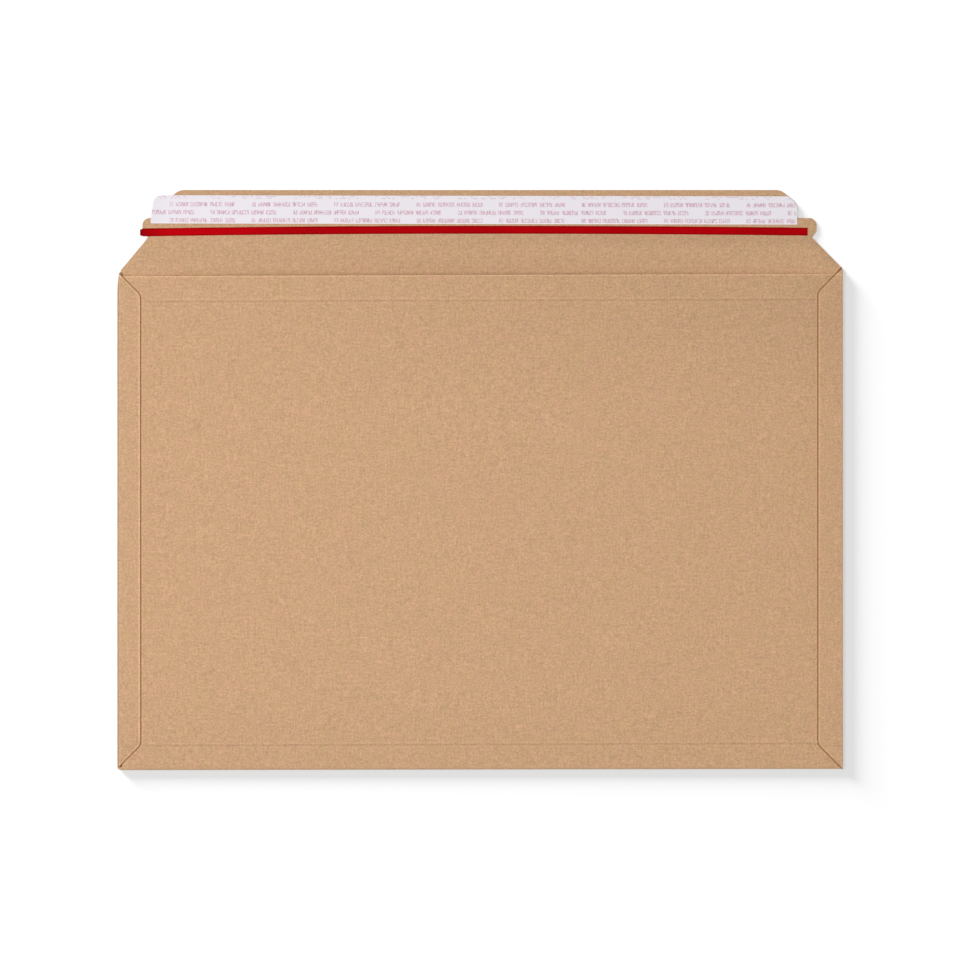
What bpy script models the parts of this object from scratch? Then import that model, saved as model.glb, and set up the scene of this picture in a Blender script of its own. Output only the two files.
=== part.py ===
"""Cardboard envelope mailer for books, lying on its back with its closure flap open.

The mailer is one folded board blank. The back panel lies flat, the front panel comes up over it
from the bottom fold, and two narrow side flaps fold over the front panel and hold its margins down.
Between them the front panel springs up towards the mouth, which leaves the pocket open.
The closure flap goes on from the back panel past a pressed score. It carries an adhesive strip
under a release liner, and a tear strip that runs between two die-cut tabs.
Every y value is measured from the outside of the bottom fold, and every length is in metres.
"""
import math

import bmesh
import bpy
from mathutils import Vector

MM = 0.001

# Board and outer size
BOARD = 1.2 * MM
WIDTH = 362.5 * MM
SCORE_Y = 250.5 * MM
DEPTH = 289.9 * MM
CUT_GAP = 0.3 * MM

# Pocket between the back panel and the front panel
EDGE_GAP = 0.5 * MM
SPRING = 6.0 * MM
RISE_POWER = 3
GLUE_LINE = 0.1 * MM

# Front panel: mouth edge and the two pressed capacity creases, all a little askew
MOUTH_Y = 247.5 * MM
MOUTH_CREASE_Y = 234.5 * MM
FOOT_CREASE_Y = 12.5 * MM
SKEW = 0.0033
CREASE_DEPTH = 0.3 * MM
CREASE_HALF_WIDTH = 0.6 * MM
CREASE_FULL_X = 165.5 * MM
CREASE_END_X = 171.0 * MM

# Side flaps: visible width, and where the mitred ends start, for the left and the right one
SIDE_FLAP_WIDTH = {-1: 11.65 * MM, 1: 12.45 * MM}
MITRE_FOOT_Y = {-1: 1.0 * MM, 1: 0.5 * MM}
MITRE_HEAD_Y = {-1: 249.0 * MM, 1: 251.3 * MM}
FOLD_END_Y = {-1: 247.3 * MM, 1: 250.2 * MM}
MITRE_CORNER = 4.5 * MM

# Ends of the bottom fold: it runs out past the side folds' score lines, and they start above it
FOOT_END_X = 180.4 * MM
FOOT_CLEAR = 0.25 * MM

# Closure flap: slants, tear tabs and the narrower lip beyond them
ROOT_LEFT_X = -179.0 * MM
ROOT_RIGHT_X = 180.9 * MM
RIGHT_SLANT_Y = 251.0 * MM
NOTCH_X = 165.9 * MM
NOTCH_Y = 266.2 * MM
TAB_X = {-1: 168.8 * MM, 1: 168.2 * MM}
TAB_LOW_Y = 269.2 * MM
TAB_TOP_Y = 275.9 * MM
TAB_CORNER = 3.6 * MM
TAB_LOW_CORNER = 1.6 * MM
SMALL_CORNER = 0.6 * MM

# The lip's corners are cut at a slant between two easy curves
LIP_X = 158.6 * MM
LIP_SIDE_Y = 283.2 * MM
LIP_SIDE_CURVE = 6.0 * MM
LIP_TOP_X = 150.3 * MM
LIP_TOP_CURVE = 7.0 * MM

# Score that the closure flap turns on
SCORE_HALF_WIDTH = 0.65 * MM
SCORE_DEPTH = 0.35 * MM

# Strips on the inner face of the closure flap
LAYER_GAP = 0.1 * MM
ADHESIVE_THICK = 0.15 * MM
ADHESIVE_X = 155.0 * MM
ADHESIVE_Y = (274.6 * MM, 285.2 * MM)
ADHESIVE_CUT = 1.5 * MM
LINER_THICK = 0.15 * MM
LINER_Y = (272.9 * MM, 287.0 * MM)
LINER_SKEW = -0.0018
LINER_INSET = 0.1 * MM
LINER_LEFT_X = (-164.8 * MM, -162.9 * MM)
LINER_CORNER = 4.5 * MM
TEAR_THICK = 0.15 * MM
TEAR_WIDTH = 3.8 * MM
TEAR_X = (-170.1 * MM, 163.7 * MM)
TEAR_Y = 270.0 * MM
TEAR_SAG = {-1: 1.6 * MM, 1: 1.0 * MM}

# Fold geometry that follows from the values above, along the middle of the board
SIDE_FOLD_RADIUS = (2 * BOARD + EDGE_GAP + GLUE_LINE) / 2
SIDE_FOLD_X = WIDTH / 2 - SIDE_FOLD_RADIUS - BOARD / 2
FOOT_FOLD_RADIUS = (BOARD + EDGE_GAP) / 2
FOOT_FOLD_Y = FOOT_FOLD_RADIUS + BOARD / 2
FRONT_HALF_WIDTH = SIDE_FOLD_X - 0.3 * MM

# Hinge axis: half way between the flap's inner face when open and when closed over the pocket
STRIP_STACK = 2 * LAYER_GAP + ADHESIVE_THICK + LINER_THICK
CLOSED_FACE_Z = BOARD + EDGE_GAP + SPRING + BOARD + STRIP_STACK + CUT_GAP
HINGE_Z = (BOARD + CLOSED_FACE_Z) / 2

# Facets
PANEL_COLUMNS = 18
PANEL_ROWS = 18
FRONT_ROWS = 14
STRIP_ROWS = 2
FOLD_STEPS = 8
CORNER_STEPS = 6
TEAR_STEPS = 24

KRAFT = (0.60, 0.39, 0.22)
LINER_WHITE = (0.80, 0.76, 0.80)
TAPE_RED = (0.43, 0.003, 0.005)
GLUE_AMBER = (0.80, 0.72, 0.52)


def clear_scene():
    for old in list(bpy.data.objects):
        bpy.data.objects.remove(old, do_unlink=True)


def make_material(name, colour, roughness):
    material = bpy.data.materials.new(name)
    material.use_nodes = True
    shader = material.node_tree.nodes["Principled BSDF"]
    shader.inputs["Base Color"].default_value = (*colour, 1.0)
    shader.inputs["Roughness"].default_value = roughness
    shader.inputs["Metallic"].default_value = 0.0
    return material


def between(low, high, share):
    return low + (high - low) * share


def spaced(low, high, steps):
    return [between(low, high, step / steps) for step in range(steps + 1)]


# The sprung front panel

def rise(y):
    """Share of the full spring at height y: nothing at the bottom fold, all of it at the mouth."""
    share = min(max((y - FOOT_FOLD_Y) / (MOUTH_Y - FOOT_FOLD_Y), 0.0), 1.0)
    return 1.0 - (1.0 - share) ** RISE_POWER


def bow(x):
    return 1.0 - (x / SIDE_FOLD_X) ** 2


def front_z(x, y):
    """Height of the middle of the front panel's board."""
    return BOARD / 2 + BOARD + EDGE_GAP + SPRING * bow(x) * rise(y)


def margin_slope(y):
    return math.atan(2 * SPRING / SIDE_FOLD_X * rise(y))


def foot_slope(x):
    return math.atan(RISE_POWER * SPRING * max(bow(x), 0.0) / (MOUTH_Y - FOOT_FOLD_Y))


def crease_dip(x, offset):
    """Depth of a pressed crease at a distance from its line, fading out before the side flaps."""
    across = max(0.0, 1.0 - abs(offset) / CREASE_HALF_WIDTH)
    along = (CREASE_END_X - abs(x)) / (CREASE_END_X - CREASE_FULL_X)
    return CREASE_DEPTH * across * min(max(along, 0.0), 1.0)


def panel_columns():
    """Column positions across the front panel, closer together where the creases fade out."""
    middle = spaced(-CREASE_FULL_X, CREASE_FULL_X, PANEL_COLUMNS)
    return [-FRONT_HALF_WIDTH, -CREASE_END_X, *middle, CREASE_END_X, FRONT_HALF_WIDTH]


def front_rows():
    """Rows up the front panel as (height, offset from a crease or None, share of the skew)."""
    across = spaced(-CREASE_HALF_WIDTH, CREASE_HALF_WIDTH, 4)
    foot_strip = spaced(FOOT_FOLD_Y, FOOT_CREASE_Y - CREASE_HALF_WIDTH, STRIP_ROWS)[1:-1]
    middle = spaced(FOOT_CREASE_Y + CREASE_HALF_WIDTH, MOUTH_CREASE_Y - CREASE_HALF_WIDTH, FRONT_ROWS)
    mouth_strip = spaced(MOUTH_CREASE_Y + CREASE_HALF_WIDTH, MOUTH_Y, STRIP_ROWS)[1:]
    rows = [(y, None, y / FOOT_CREASE_Y) for y in foot_strip]
    rows += [(FOOT_CREASE_Y + offset, offset, 1.0) for offset in across]
    rows += [(y, None, 1.0) for y in middle[1:-1]]
    rows += [(MOUTH_CREASE_Y + offset, offset, 1.0) for offset in across]
    rows += [(y, None, 1.0) for y in mouth_strip]
    return rows


# Patches of the folded sheet, along the middle of the board

def add_patch(sheet, rows):
    """Add a grid of quads through rows of points."""
    grid = [[sheet.verts.new(point) for point in row] for row in rows]
    for low, high in zip(grid, grid[1:]):
        for corner in range(len(low) - 1):
            sheet.faces.new((low[corner], low[corner + 1], high[corner + 1], high[corner]))


def add_back_panel(sheet):
    columns = [-SIDE_FOLD_X, *panel_columns(), SIDE_FOLD_X]
    heights = spaced(FOOT_FOLD_Y, SCORE_Y - CUT_GAP / 2, PANEL_ROWS)
    add_patch(sheet, [[Vector((x, y, BOARD / 2)) for x in columns] for y in heights])


def foot_fold_point(x, step):
    turn = (math.pi - foot_slope(x)) * step / FOLD_STEPS
    y = FOOT_FOLD_Y - FOOT_FOLD_RADIUS * math.sin(turn)
    z = BOARD / 2 + FOOT_FOLD_RADIUS * (1.0 - math.cos(turn))
    return Vector((x, y, z))


def front_point(x, row):
    height, offset, skew_share = row
    dip = crease_dip(x, offset) if offset is not None else 0.0
    return Vector((x, height + SKEW * skew_share * x, front_z(x, height) - dip))


def add_foot_fold(sheet):
    columns = [-FOOT_END_X, -SIDE_FOLD_X, *panel_columns(), SIDE_FOLD_X, FOOT_END_X]
    steps = range(FOLD_STEPS + 1)
    add_patch(sheet, [[foot_fold_point(x, step) for x in columns] for step in steps])


def add_front_panel(sheet):
    columns = panel_columns()
    rows = [[foot_fold_point(x, FOLD_STEPS) for x in columns]]
    rows += [[front_point(x, row) for x in columns] for row in front_rows()]
    add_patch(sheet, rows)


def mitre_reach(inset, flap_width):
    """How far a mitred end has come in along the flap, at an inset from the outer edge."""
    straight_until = flap_width - MITRE_CORNER * (1.0 - math.sqrt(0.5))
    if inset <= straight_until:
        return inset
    across = inset - (flap_width - MITRE_CORNER)
    foot = flap_width + MITRE_CORNER * math.tan(math.pi / 8)
    return foot - math.sqrt(max(MITRE_CORNER ** 2 - across ** 2, 0.0))


def side_stations(side):
    """Stations across a side flap as (turn share, inset): round the fold, then in to the seam."""
    outer_radius = SIDE_FOLD_RADIUS + BOARD / 2
    fold = []
    for step in range(FOLD_STEPS + 1):
        share = step / FOLD_STEPS
        inset = outer_radius * (1.0 - math.sin(math.pi * share)) if share > 0.5 else 0.0
        fold.append((share, inset))
    centre = SIDE_FLAP_WIDTH[side] - MITRE_CORNER
    corner = [centre + MITRE_CORNER * math.cos(math.radians(turn)) for turn in (45, 30, 15, 0)]
    flat = [between(outer_radius, corner[0], 0.5), *corner]
    return fold + [(1.0, inset) for inset in flat]


def side_span(side, share, inset):
    """Lower and upper end of the side flap's board at a station."""
    if share == 0.0:
        return FOOT_FOLD_Y, SCORE_Y - CUT_GAP / 2
    reach = mitre_reach(inset, SIDE_FLAP_WIDTH[side])
    low = max(MITRE_FOOT_Y[side] + reach, FOOT_FOLD_Y + FOOT_CLEAR)
    if share < 0.5:
        return low, between(SCORE_Y - CUT_GAP / 2, FOLD_END_Y[side], math.sin(math.pi * share))
    return low, min(MITRE_HEAD_Y[side] - reach, FOLD_END_Y[side])


def side_point(side, y, share, inset):
    slope = margin_slope(y)
    turn = (math.pi - slope) * share
    x = SIDE_FOLD_X + SIDE_FOLD_RADIUS * math.sin(turn)
    z = BOARD / 2 + SIDE_FOLD_RADIUS * (1.0 - math.cos(turn))
    if share == 1.0:
        run = inset - (SIDE_FOLD_RADIUS + BOARD / 2)
        x -= run * math.cos(slope)
        z += run * math.sin(slope)
    return Vector((side * x, y, z))


def add_side_flap(sheet, side):
    stations = []
    for share, inset in side_stations(side):
        low, high = side_span(side, share, inset)
        heights = spaced(low, high, PANEL_ROWS)
        stations.append([side_point(side, y, share, inset) for y in heights])
    add_patch(sheet, stations)


# Solids

def new_object(name, mesh_data, material, parent, origin):
    """Object with its origin at a world point; its mesh is given in world coordinates."""
    mesh = bpy.data.meshes.new(name)
    bmesh.ops.recalc_face_normals(mesh_data, faces=mesh_data.faces)
    bmesh.ops.translate(mesh_data, verts=mesh_data.verts, vec=-origin)
    mesh_data.to_mesh(mesh)
    mesh_data.free()
    mesh.materials.append(material)
    item = bpy.data.objects.new(name, mesh)
    bpy.context.collection.objects.link(item)
    item.parent = parent
    item.location = origin - parent_point(parent)
    return item


def parent_point(parent):
    """Place of a parent in the blank's own coordinates: the blank itself has no parent."""
    return parent.location if parent.parent else Vector()


def fillet(before, corner, after, radius):
    """Points of an arc that rounds one corner of an outline."""
    to_before = (before - corner).normalized()
    to_after = (after - corner).normalized()
    half = to_before.angle(to_after) / 2
    centre = corner + (to_before + to_after).normalized() * (radius / math.sin(half))
    start = corner + to_before * (radius / math.tan(half)) - centre
    end = corner + to_after * (radius / math.tan(half)) - centre
    arms = [start.slerp(end, step / CORNER_STEPS).normalized() for step in range(CORNER_STEPS + 1)]
    return [centre + arm * radius for arm in arms]


def rounded_outline(corners):
    """Outline through (x, y, corner radius) triples, each corner rounded by its radius."""
    outline = []
    count = len(corners)
    for index, (x, y, radius) in enumerate(corners):
        corner = Vector((x, y))
        if radius == 0.0:
            outline.append(corner)
            continue
        before = Vector(corners[index - 1][:2])
        after = Vector(corners[(index + 1) % count][:2])
        outline += fillet(before, corner, after, radius)
    return outline


def slab(outline, low_z, thickness):
    """Flat solid of an outline."""
    data = bmesh.new()
    base = data.faces.new([data.verts.new((point.x, point.y, low_z)) for point in outline])
    raised = bmesh.ops.extrude_face_region(data, geom=[base])
    top = [item for item in raised["geom"] if isinstance(item, bmesh.types.BMVert)]
    bmesh.ops.translate(data, verts=top, vec=(0.0, 0.0, thickness))
    return data


def cut_score(item, tool):
    cut = item.modifiers.new("score", "BOOLEAN")
    cut.operation = "DIFFERENCE"
    cut.solver = "EXACT"
    cut.object = tool


def score_tool(parent):
    """Long wedge that presses the closure score into the inner face of the board."""
    reach = WIDTH / 2 + 5 * MM
    flare = 2 * SCORE_HALF_WIDTH
    profile = ((-flare, BOARD + SCORE_DEPTH), (0.0, BOARD - SCORE_DEPTH), (flare, BOARD + SCORE_DEPTH))
    data = bmesh.new()
    ends = []
    for x in (-reach, reach):
        ends.append([data.verts.new((x, SCORE_Y + y, z)) for y, z in profile])
    data.faces.new(ends[0])
    data.faces.new(ends[1])
    for corner in range(3):
        after = (corner + 1) % 3
        data.faces.new((ends[0][corner], ends[0][after], ends[1][after], ends[1][corner]))
    tool = new_object("score_tool", data, make_material("score_tool", KRAFT, 0.8), parent, Vector())
    tool.hide_render = True
    tool.display_type = "WIRE"
    return tool


def shade(item):
    item.data.shade_smooth()
    item.data.set_sharp_from_angle(angle=math.radians(35))


def build_envelope_body(parent, material, tool):
    sheet = bmesh.new()
    add_back_panel(sheet)
    add_foot_fold(sheet)
    add_front_panel(sheet)
    for side in (-1, 1):
        add_side_flap(sheet, side)
    bmesh.ops.remove_doubles(sheet, verts=sheet.verts, dist=0.001 * MM)
    body = new_object("envelope_body", sheet, material, parent, Vector())
    shade(body)
    thick = body.modifiers.new("board", "SOLIDIFY")
    thick.thickness = BOARD
    thick.offset = 0.0
    thick.use_even_offset = True
    cut_score(body, tool)
    return body


def flap_side(side):
    """One side of the flap's outline, from the notch out round the tear tab and up to the lip."""
    corners = [
        (NOTCH_X, NOTCH_Y, SMALL_CORNER / 2),
        (TAB_X[side], TAB_LOW_Y, TAB_LOW_CORNER),
        (TAB_X[side], TAB_TOP_Y, TAB_CORNER),
        (LIP_X, TAB_TOP_Y, SMALL_CORNER),
        (LIP_X, LIP_SIDE_Y, LIP_SIDE_CURVE),
        (LIP_TOP_X, DEPTH, LIP_TOP_CURVE),
    ]
    return [(side * x, y, radius) for x, y, radius in corners]


def flap_outline():
    root = SCORE_Y + CUT_GAP / 2
    start = [(ROOT_RIGHT_X, root, 0.0), (ROOT_RIGHT_X, RIGHT_SLANT_Y, 0.0)]
    end = [(ROOT_LEFT_X, root, 0.0)]
    return rounded_outline(start + flap_side(1) + flap_side(-1)[::-1] + end)


def build_closure_flap(parent, material, tool):
    data = slab(flap_outline(), 0.0, BOARD)
    flap = new_object("closure_flap", data, material, parent, Vector((0.0, SCORE_Y, HINGE_Z)))
    cut_score(flap, tool)
    return flap


def build_adhesive(parent, material):
    low, high = ADHESIVE_Y
    corners = [
        (-ADHESIVE_X, low),
        (ADHESIVE_X, low),
        (ADHESIVE_X, high - ADHESIVE_CUT),
        (ADHESIVE_X - ADHESIVE_CUT, high),
        (-ADHESIVE_X, high),
    ]
    data = slab([Vector(corner) for corner in corners], BOARD + LAYER_GAP, ADHESIVE_THICK)
    origin = Vector((0.0, (low + high) / 2, BOARD))
    return new_object("adhesive_strip", data, material, parent, origin)


def slant_x(y):
    """Where the slanted cut at the lip's right corner is at a height."""
    return between(LIP_X, LIP_TOP_X, (y - LIP_SIDE_Y) / (DEPTH - LIP_SIDE_Y))


def build_liner(parent, material):
    """Release liner: trimmed with the lip at its right end, and past its left end as a pull tab."""
    low, high = LINER_Y
    right = LIP_X - LINER_INSET
    corners = [
        (LINER_LEFT_X[0], low, SMALL_CORNER),
        (right, low, 0.0),
        (right, LIP_SIDE_Y, LIP_SIDE_CURVE),
        (slant_x(high) - LINER_INSET, high, 0.0),
        (LINER_LEFT_X[1], high, LINER_CORNER),
    ]
    outline = [point + Vector((0.0, LINER_SKEW * point.x)) for point in rounded_outline(corners)]
    base = BOARD + LAYER_GAP + ADHESIVE_THICK + LAYER_GAP
    data = slab(outline, base, LINER_THICK)
    origin = Vector((0.0, (low + high) / 2, BOARD))
    return new_object("release_liner", data, material, parent, origin)


def tear_line(x):
    side = -1 if x < 0 else 1
    reach = abs(TEAR_X[0]) if x < 0 else TEAR_X[1]
    return TEAR_Y - TEAR_SAG[side] * (x / reach) ** 2


def build_tear_strip(parent, material):
    """Tear strip laid on in a slight bow, from past the left tab to short of the right tab's tip."""
    stations = spaced(*TEAR_X, TEAR_STEPS)
    lower = [Vector((x, tear_line(x) - TEAR_WIDTH / 2)) for x in stations]
    upper = [Vector((x, tear_line(x) + TEAR_WIDTH / 2)) for x in reversed(stations)]
    data = slab(lower + upper, BOARD + LAYER_GAP, TEAR_THICK)
    return new_object("tear_strip", data, material, parent, Vector((0.0, TEAR_Y, BOARD)))


def main():
    clear_scene()
    blank = bpy.data.objects.new("mailer", None)
    bpy.context.collection.objects.link(blank)
    blank.location = (0.0, -DEPTH / 2, 0.0)
    kraft = make_material("kraft_board", KRAFT, 0.85)
    tool = score_tool(blank)
    build_envelope_body(blank, kraft, tool)
    flap = build_closure_flap(blank, kraft, tool)
    build_adhesive(flap, make_material("adhesive", GLUE_AMBER, 0.4))
    build_liner(flap, make_material("release_paper", LINER_WHITE, 0.45))
    build_tear_strip(flap, make_material("tear_tape", TAPE_RED, 0.3))


main()
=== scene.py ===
"""Look of the cardboard envelope mailer: board, strips, print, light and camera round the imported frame.

Lengths are in metres. Y values named in the blank's own measure count from the outside of the bottom
fold, as the board was drawn, and sheet_y() turns them into the frame's Y.
"""
import math
import random

import bmesh
import bpy
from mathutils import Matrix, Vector, kdtree, noise


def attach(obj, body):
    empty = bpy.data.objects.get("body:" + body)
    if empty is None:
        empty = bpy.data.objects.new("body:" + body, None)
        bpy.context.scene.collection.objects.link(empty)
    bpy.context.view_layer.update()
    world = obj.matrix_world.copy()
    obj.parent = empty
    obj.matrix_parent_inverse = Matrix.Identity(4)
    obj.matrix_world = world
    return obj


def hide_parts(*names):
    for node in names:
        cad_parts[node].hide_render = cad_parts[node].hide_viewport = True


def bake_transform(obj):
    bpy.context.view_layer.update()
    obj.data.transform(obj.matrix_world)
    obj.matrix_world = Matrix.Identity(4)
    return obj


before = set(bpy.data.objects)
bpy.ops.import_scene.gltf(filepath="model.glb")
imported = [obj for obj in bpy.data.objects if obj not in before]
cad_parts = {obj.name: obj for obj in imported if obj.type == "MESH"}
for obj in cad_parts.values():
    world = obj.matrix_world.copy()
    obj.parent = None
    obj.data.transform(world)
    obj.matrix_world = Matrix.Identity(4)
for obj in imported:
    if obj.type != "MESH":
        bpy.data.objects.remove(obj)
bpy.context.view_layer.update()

MM = 0.001

# Blank, in its own measure
BOARD = 1.2 * MM
WIDTH = 362.5 * MM
DEPTH = 289.9 * MM
SCORE_Y = 250.5 * MM
EDGE_GAP = 0.5 * MM
SPRING = 6.0 * MM
RISE_POWER = 3
GLUE_LINE = 0.1 * MM
MOUTH_Y = 247.5 * MM
ARCH_DRAW = 0.3 * MM
SKEW = 0.0033

# Slight waviness of the front panel, held flat towards the bottom fold and the side folds
WAVE_HEIGHT = 0.12 * MM
WAVE_SIZE = 70 * MM
WAVE_SEED = 3.1
WAVE_HELD_Y = 60 * MM
WAVE_HELD_X = 30 * MM
ARCH_SHARE = 0.985

# Bottom fold: its edge stands a little higher towards the right end
FOOT_SHIFT = 0.31 * MM
FOOT_SKEW = 0.0017

# Pressed creases of the front panel: height, depth and half width
CREASES = (12.8 * MM, 234.5 * MM)
CREASE_DEPTH = 0.13 * MM
CREASE_HALF_WIDTH = 0.75 * MM
CREASE_FULL_X = 165.5 * MM
CREASE_END_X = 171.0 * MM

# Side flaps, left and right
SIDE_FLAP_WIDTH = {-1: 11.65 * MM, 1: 12.45 * MM}
MITRE_FOOT_Y = {-1: 1.0 * MM, 1: 0.5 * MM}
MITRE_HEAD_Y = {-1: 249.0 * MM, 1: 251.3 * MM}
FOLD_END_Y = {-1: 248.5 * MM, 1: 250.2 * MM}
MITRE_CORNER = 4.5 * MM

# The left side fold is pinched narrower towards its upper end
PINCH_FROM_Y = 240.0 * MM
PINCH_RUN = 8.0 * MM
PINCH = 0.75 * MM

# Closure flap outline
ROOT_LEFT_X = -179.0 * MM
ROOT_RIGHT_X = 180.9 * MM
RIGHT_SLANT_Y = 251.0 * MM
NOTCH_X = 165.9 * MM
NOTCH_Y = 266.2 * MM
TAB_X = {-1: 168.8 * MM, 1: 168.2 * MM}
TAB_LOW_Y = 269.2 * MM
TAB_TOP_Y = 275.9 * MM
TAB_CORNER = 3.6 * MM
TAB_LOW_CORNER = 1.6 * MM
SMALL_CORNER = 0.6 * MM
LIP_X = 158.6 * MM
LIP_SIDE_Y = 283.2 * MM
LIP_SIDE_CURVE = 6.0 * MM
LIP_TOP_X = 150.3 * MM
LIP_TOP_CURVE = 7.0 * MM

# Hinge web across the score
WEB_HALF = 1.0 * MM
WEB_COLUMNS = 60
WEB_STEPS = 32
SCORE_HALF_WIDTH = 0.95 * MM
SCORE_DEPTH = 0.10 * MM

# Strips on the closure flap, one over the other
LAYER_GAP = 0.1 * MM
ADHESIVE_THICK = 0.15 * MM
LINER_THICK = 0.15 * MM
LINER_Y = (272.9 * MM, 287.0 * MM)
LINER_SKEW = -0.0018
LINER_INSET = 0.1 * MM
LINER_LEFT_X = (-164.8 * MM, -162.9 * MM)
LINER_CORNER = 4.5 * MM
LINER_BASE = BOARD + LAYER_GAP + ADHESIVE_THICK + LAYER_GAP
LINER_PAPER = 0.09 * MM
LINER_GRID = 1.0 * MM
LINER_RING = 0.15 * MM

# Liner's relief: pressed down at its rims, rippled, and curled up at its left end
RIM_RUN = 1.6 * MM
RIM_PRESS = 0.22 * MM
LINER_RIPPLE = 0.03 * MM
CURL_FROM_X = -157.0 * MM
CURL_RUN = 7.8 * MM
CURL_HEIGHT = 0.55 * MM

# Tear tape: its line sags towards both ends, and its left end is rounded off
TEAR_BASE = BOARD + LAYER_GAP
TEAR_THICK = 0.15 * MM
TEAR_WIDTH = 3.95 * MM
TEAR_STEPS = 220
TEAR_END_RUN = 1.1 * MM
TEAR_X = (-169.95 * MM, 163.7 * MM)
TEAR_Y = 270.02 * MM
TEAR_SAG = {-1: 1.35 * MM, 1: 0.95 * MM}

# Tape's upper face: place across its half width, and share of its height
TEAR_PROFILE = (
    (-1.0, 0.0),
    (-0.97, 0.6),
    (-0.88, 0.9),
    (-0.6, 1.0),
    (-0.2, 0.97),
    (0.2, 0.97),
    (0.6, 1.0),
    (0.88, 0.9),
    (0.97, 0.6),
    (1.0, 0.0),
)

# Fold geometry along the middle of the board
SIDE_FOLD_RADIUS = (2 * BOARD + EDGE_GAP + GLUE_LINE) / 2
SIDE_FOLD_X = WIDTH / 2 - SIDE_FOLD_RADIUS - BOARD / 2
FOOT_FOLD_RADIUS = (BOARD + EDGE_GAP) / 2
FOOT_FOLD_Y = FOOT_FOLD_RADIUS + BOARD / 2
FRONT_HALF_WIDTH = SIDE_FOLD_X - 0.3 * MM

# Crushed cut edges: thickness share at the edge, and the run in which the board regains its thickness
CRUSH_SHARE = 0.42
CRUSH_RUN = 0.55 * MM

# Where the side flaps lie on the front panel
FLAP_ZONE_X = 165 * MM
FLAP_ZONE_Z = 3.3 * MM

# Mesh steps and tolerances
GRID = 5.0 * MM
FOLD_STEPS = 14
CREASE_STEPS = 10
CORNER_STEPS = 8
MITRE_TURNS = (45, 37, 30, 22)
OUTLINE_STEP = 2.5 * MM
LINER_STEP = 2.0 * MM
EDGE_POINT_STEP = 0.15 * MM
MERGE = 0.001 * MM
CUT_TOLERANCE = 0.0001 * MM
BOARD_SHARP_ANGLE = math.radians(40)
TAPE_SHARP_ANGLE = math.radians(50)
EDGE_ROWS = (0.0, 0.12 * MM, 0.3 * MM, 0.6 * MM, 0.8 * MM)


def sheet_y(y):
    """Frame Y of a height on the blank."""
    return y - DEPTH / 2


def between(low, high, share):
    return low + (high - low) * share


def spaced(low, high, steps):
    return [between(low, high, step / steps) for step in range(steps + 1)]


def smooth(low, high, value):
    share = min(max((value - low) / (high - low), 0.0), 1.0)
    return share * share * (3.0 - 2.0 * share)


def close_ended(low, high, steps):
    """Evenly spaced rows with extra ones close to both ends, for crushed edges."""
    inner = spaced(low + EDGE_ROWS[-1], high - EDGE_ROWS[-1], steps)
    start = [low + row for row in EDGE_ROWS[:-1]]
    return start + inner + [high - row for row in reversed(EDGE_ROWS[:-1])]


# Front panel surface

def rise(y):
    share = min(max((y - FOOT_FOLD_Y) / (MOUTH_Y - FOOT_FOLD_Y), 0.0), 1.0)
    return 1.0 - (1.0 - share) ** RISE_POWER


def bow(x):
    return max(0.0, 1.0 - (x / SIDE_FOLD_X) ** 2)


def warp(x, y, size, seed):
    """Gentle unevenness of a board, between -1 and 1."""
    return noise.noise(Vector((x / size, y / size, seed)))


def front_z(x, y):
    """Height of the middle of the front panel's board, with the slight waviness of real board."""
    held = smooth(0.0, WAVE_HELD_Y, y) * smooth(0.0, WAVE_HELD_X, SIDE_FOLD_X - abs(x))
    wave = WAVE_HEIGHT * warp(x, y, WAVE_SIZE, WAVE_SEED) * held
    return BOARD / 2 + BOARD + EDGE_GAP + SPRING * bow(x) * rise(y) * ARCH_SHARE + wave


def margin_slope(y):
    return math.atan(2 * SPRING / SIDE_FOLD_X * rise(y))


def foot_slope(x):
    return math.atan(RISE_POWER * SPRING * bow(x) / (MOUTH_Y - FOOT_FOLD_Y))


def crease_dip(x, offset):
    share = min(abs(offset) / CREASE_HALF_WIDTH, 1.0)
    across = 0.5 + 0.5 * math.cos(math.pi * share)
    along = smooth(0.0, 1.0, (CREASE_END_X - abs(x)) / (CREASE_END_X - CREASE_FULL_X))
    return CREASE_DEPTH * across * along


def panel_columns():
    steps = round(2 * CREASE_FULL_X / GRID)
    middle = spaced(-CREASE_FULL_X, CREASE_FULL_X, steps)
    fade = spaced(CREASE_FULL_X, CREASE_END_X, 4)[1:]
    outer = [*fade, FRONT_HALF_WIDTH - EDGE_ROWS[-1], FRONT_HALF_WIDTH]
    return [-x for x in reversed(outer)] + middle + outer


def crease_rows(height):
    offsets = spaced(-CREASE_HALF_WIDTH, CREASE_HALF_WIDTH, CREASE_STEPS)
    return [(height + offset, offset) for offset in offsets]


def foot_y(x):
    """Height at which the bottom fold's bend starts and ends."""
    return FOOT_FOLD_Y + FOOT_SHIFT + FOOT_SKEW * x


def front_rows():
    """Rows up the front panel as (height, offset from a crease or None, share of the skew)."""
    foot, mouth = CREASES
    low_strip = spaced(FOOT_FOLD_Y, foot - CREASE_HALF_WIDTH, 4)[1:-1]
    rows = [(y, None, (y - FOOT_FOLD_Y) / (foot - FOOT_FOLD_Y)) for y in low_strip]
    rows += [(y, offset, 1.0) for y, offset in crease_rows(foot)]
    span = spaced(foot + CREASE_HALF_WIDTH, mouth - CREASE_HALF_WIDTH, round((mouth - foot) / GRID))
    rows += [(y, None, 1.0) for y in span[1:-1]]
    rows += [(y, offset, 1.0) for y, offset in crease_rows(mouth)]
    rows += [(y, None, 1.0) for y in spaced(mouth + CREASE_HALF_WIDTH, MOUTH_Y - EDGE_ROWS[-1], 4)[1:]]
    rows += [(MOUTH_Y - row, None, 1.0) for row in reversed(EDGE_ROWS[:-1])]
    return rows


# Sheet patches along the middle of the board

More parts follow.
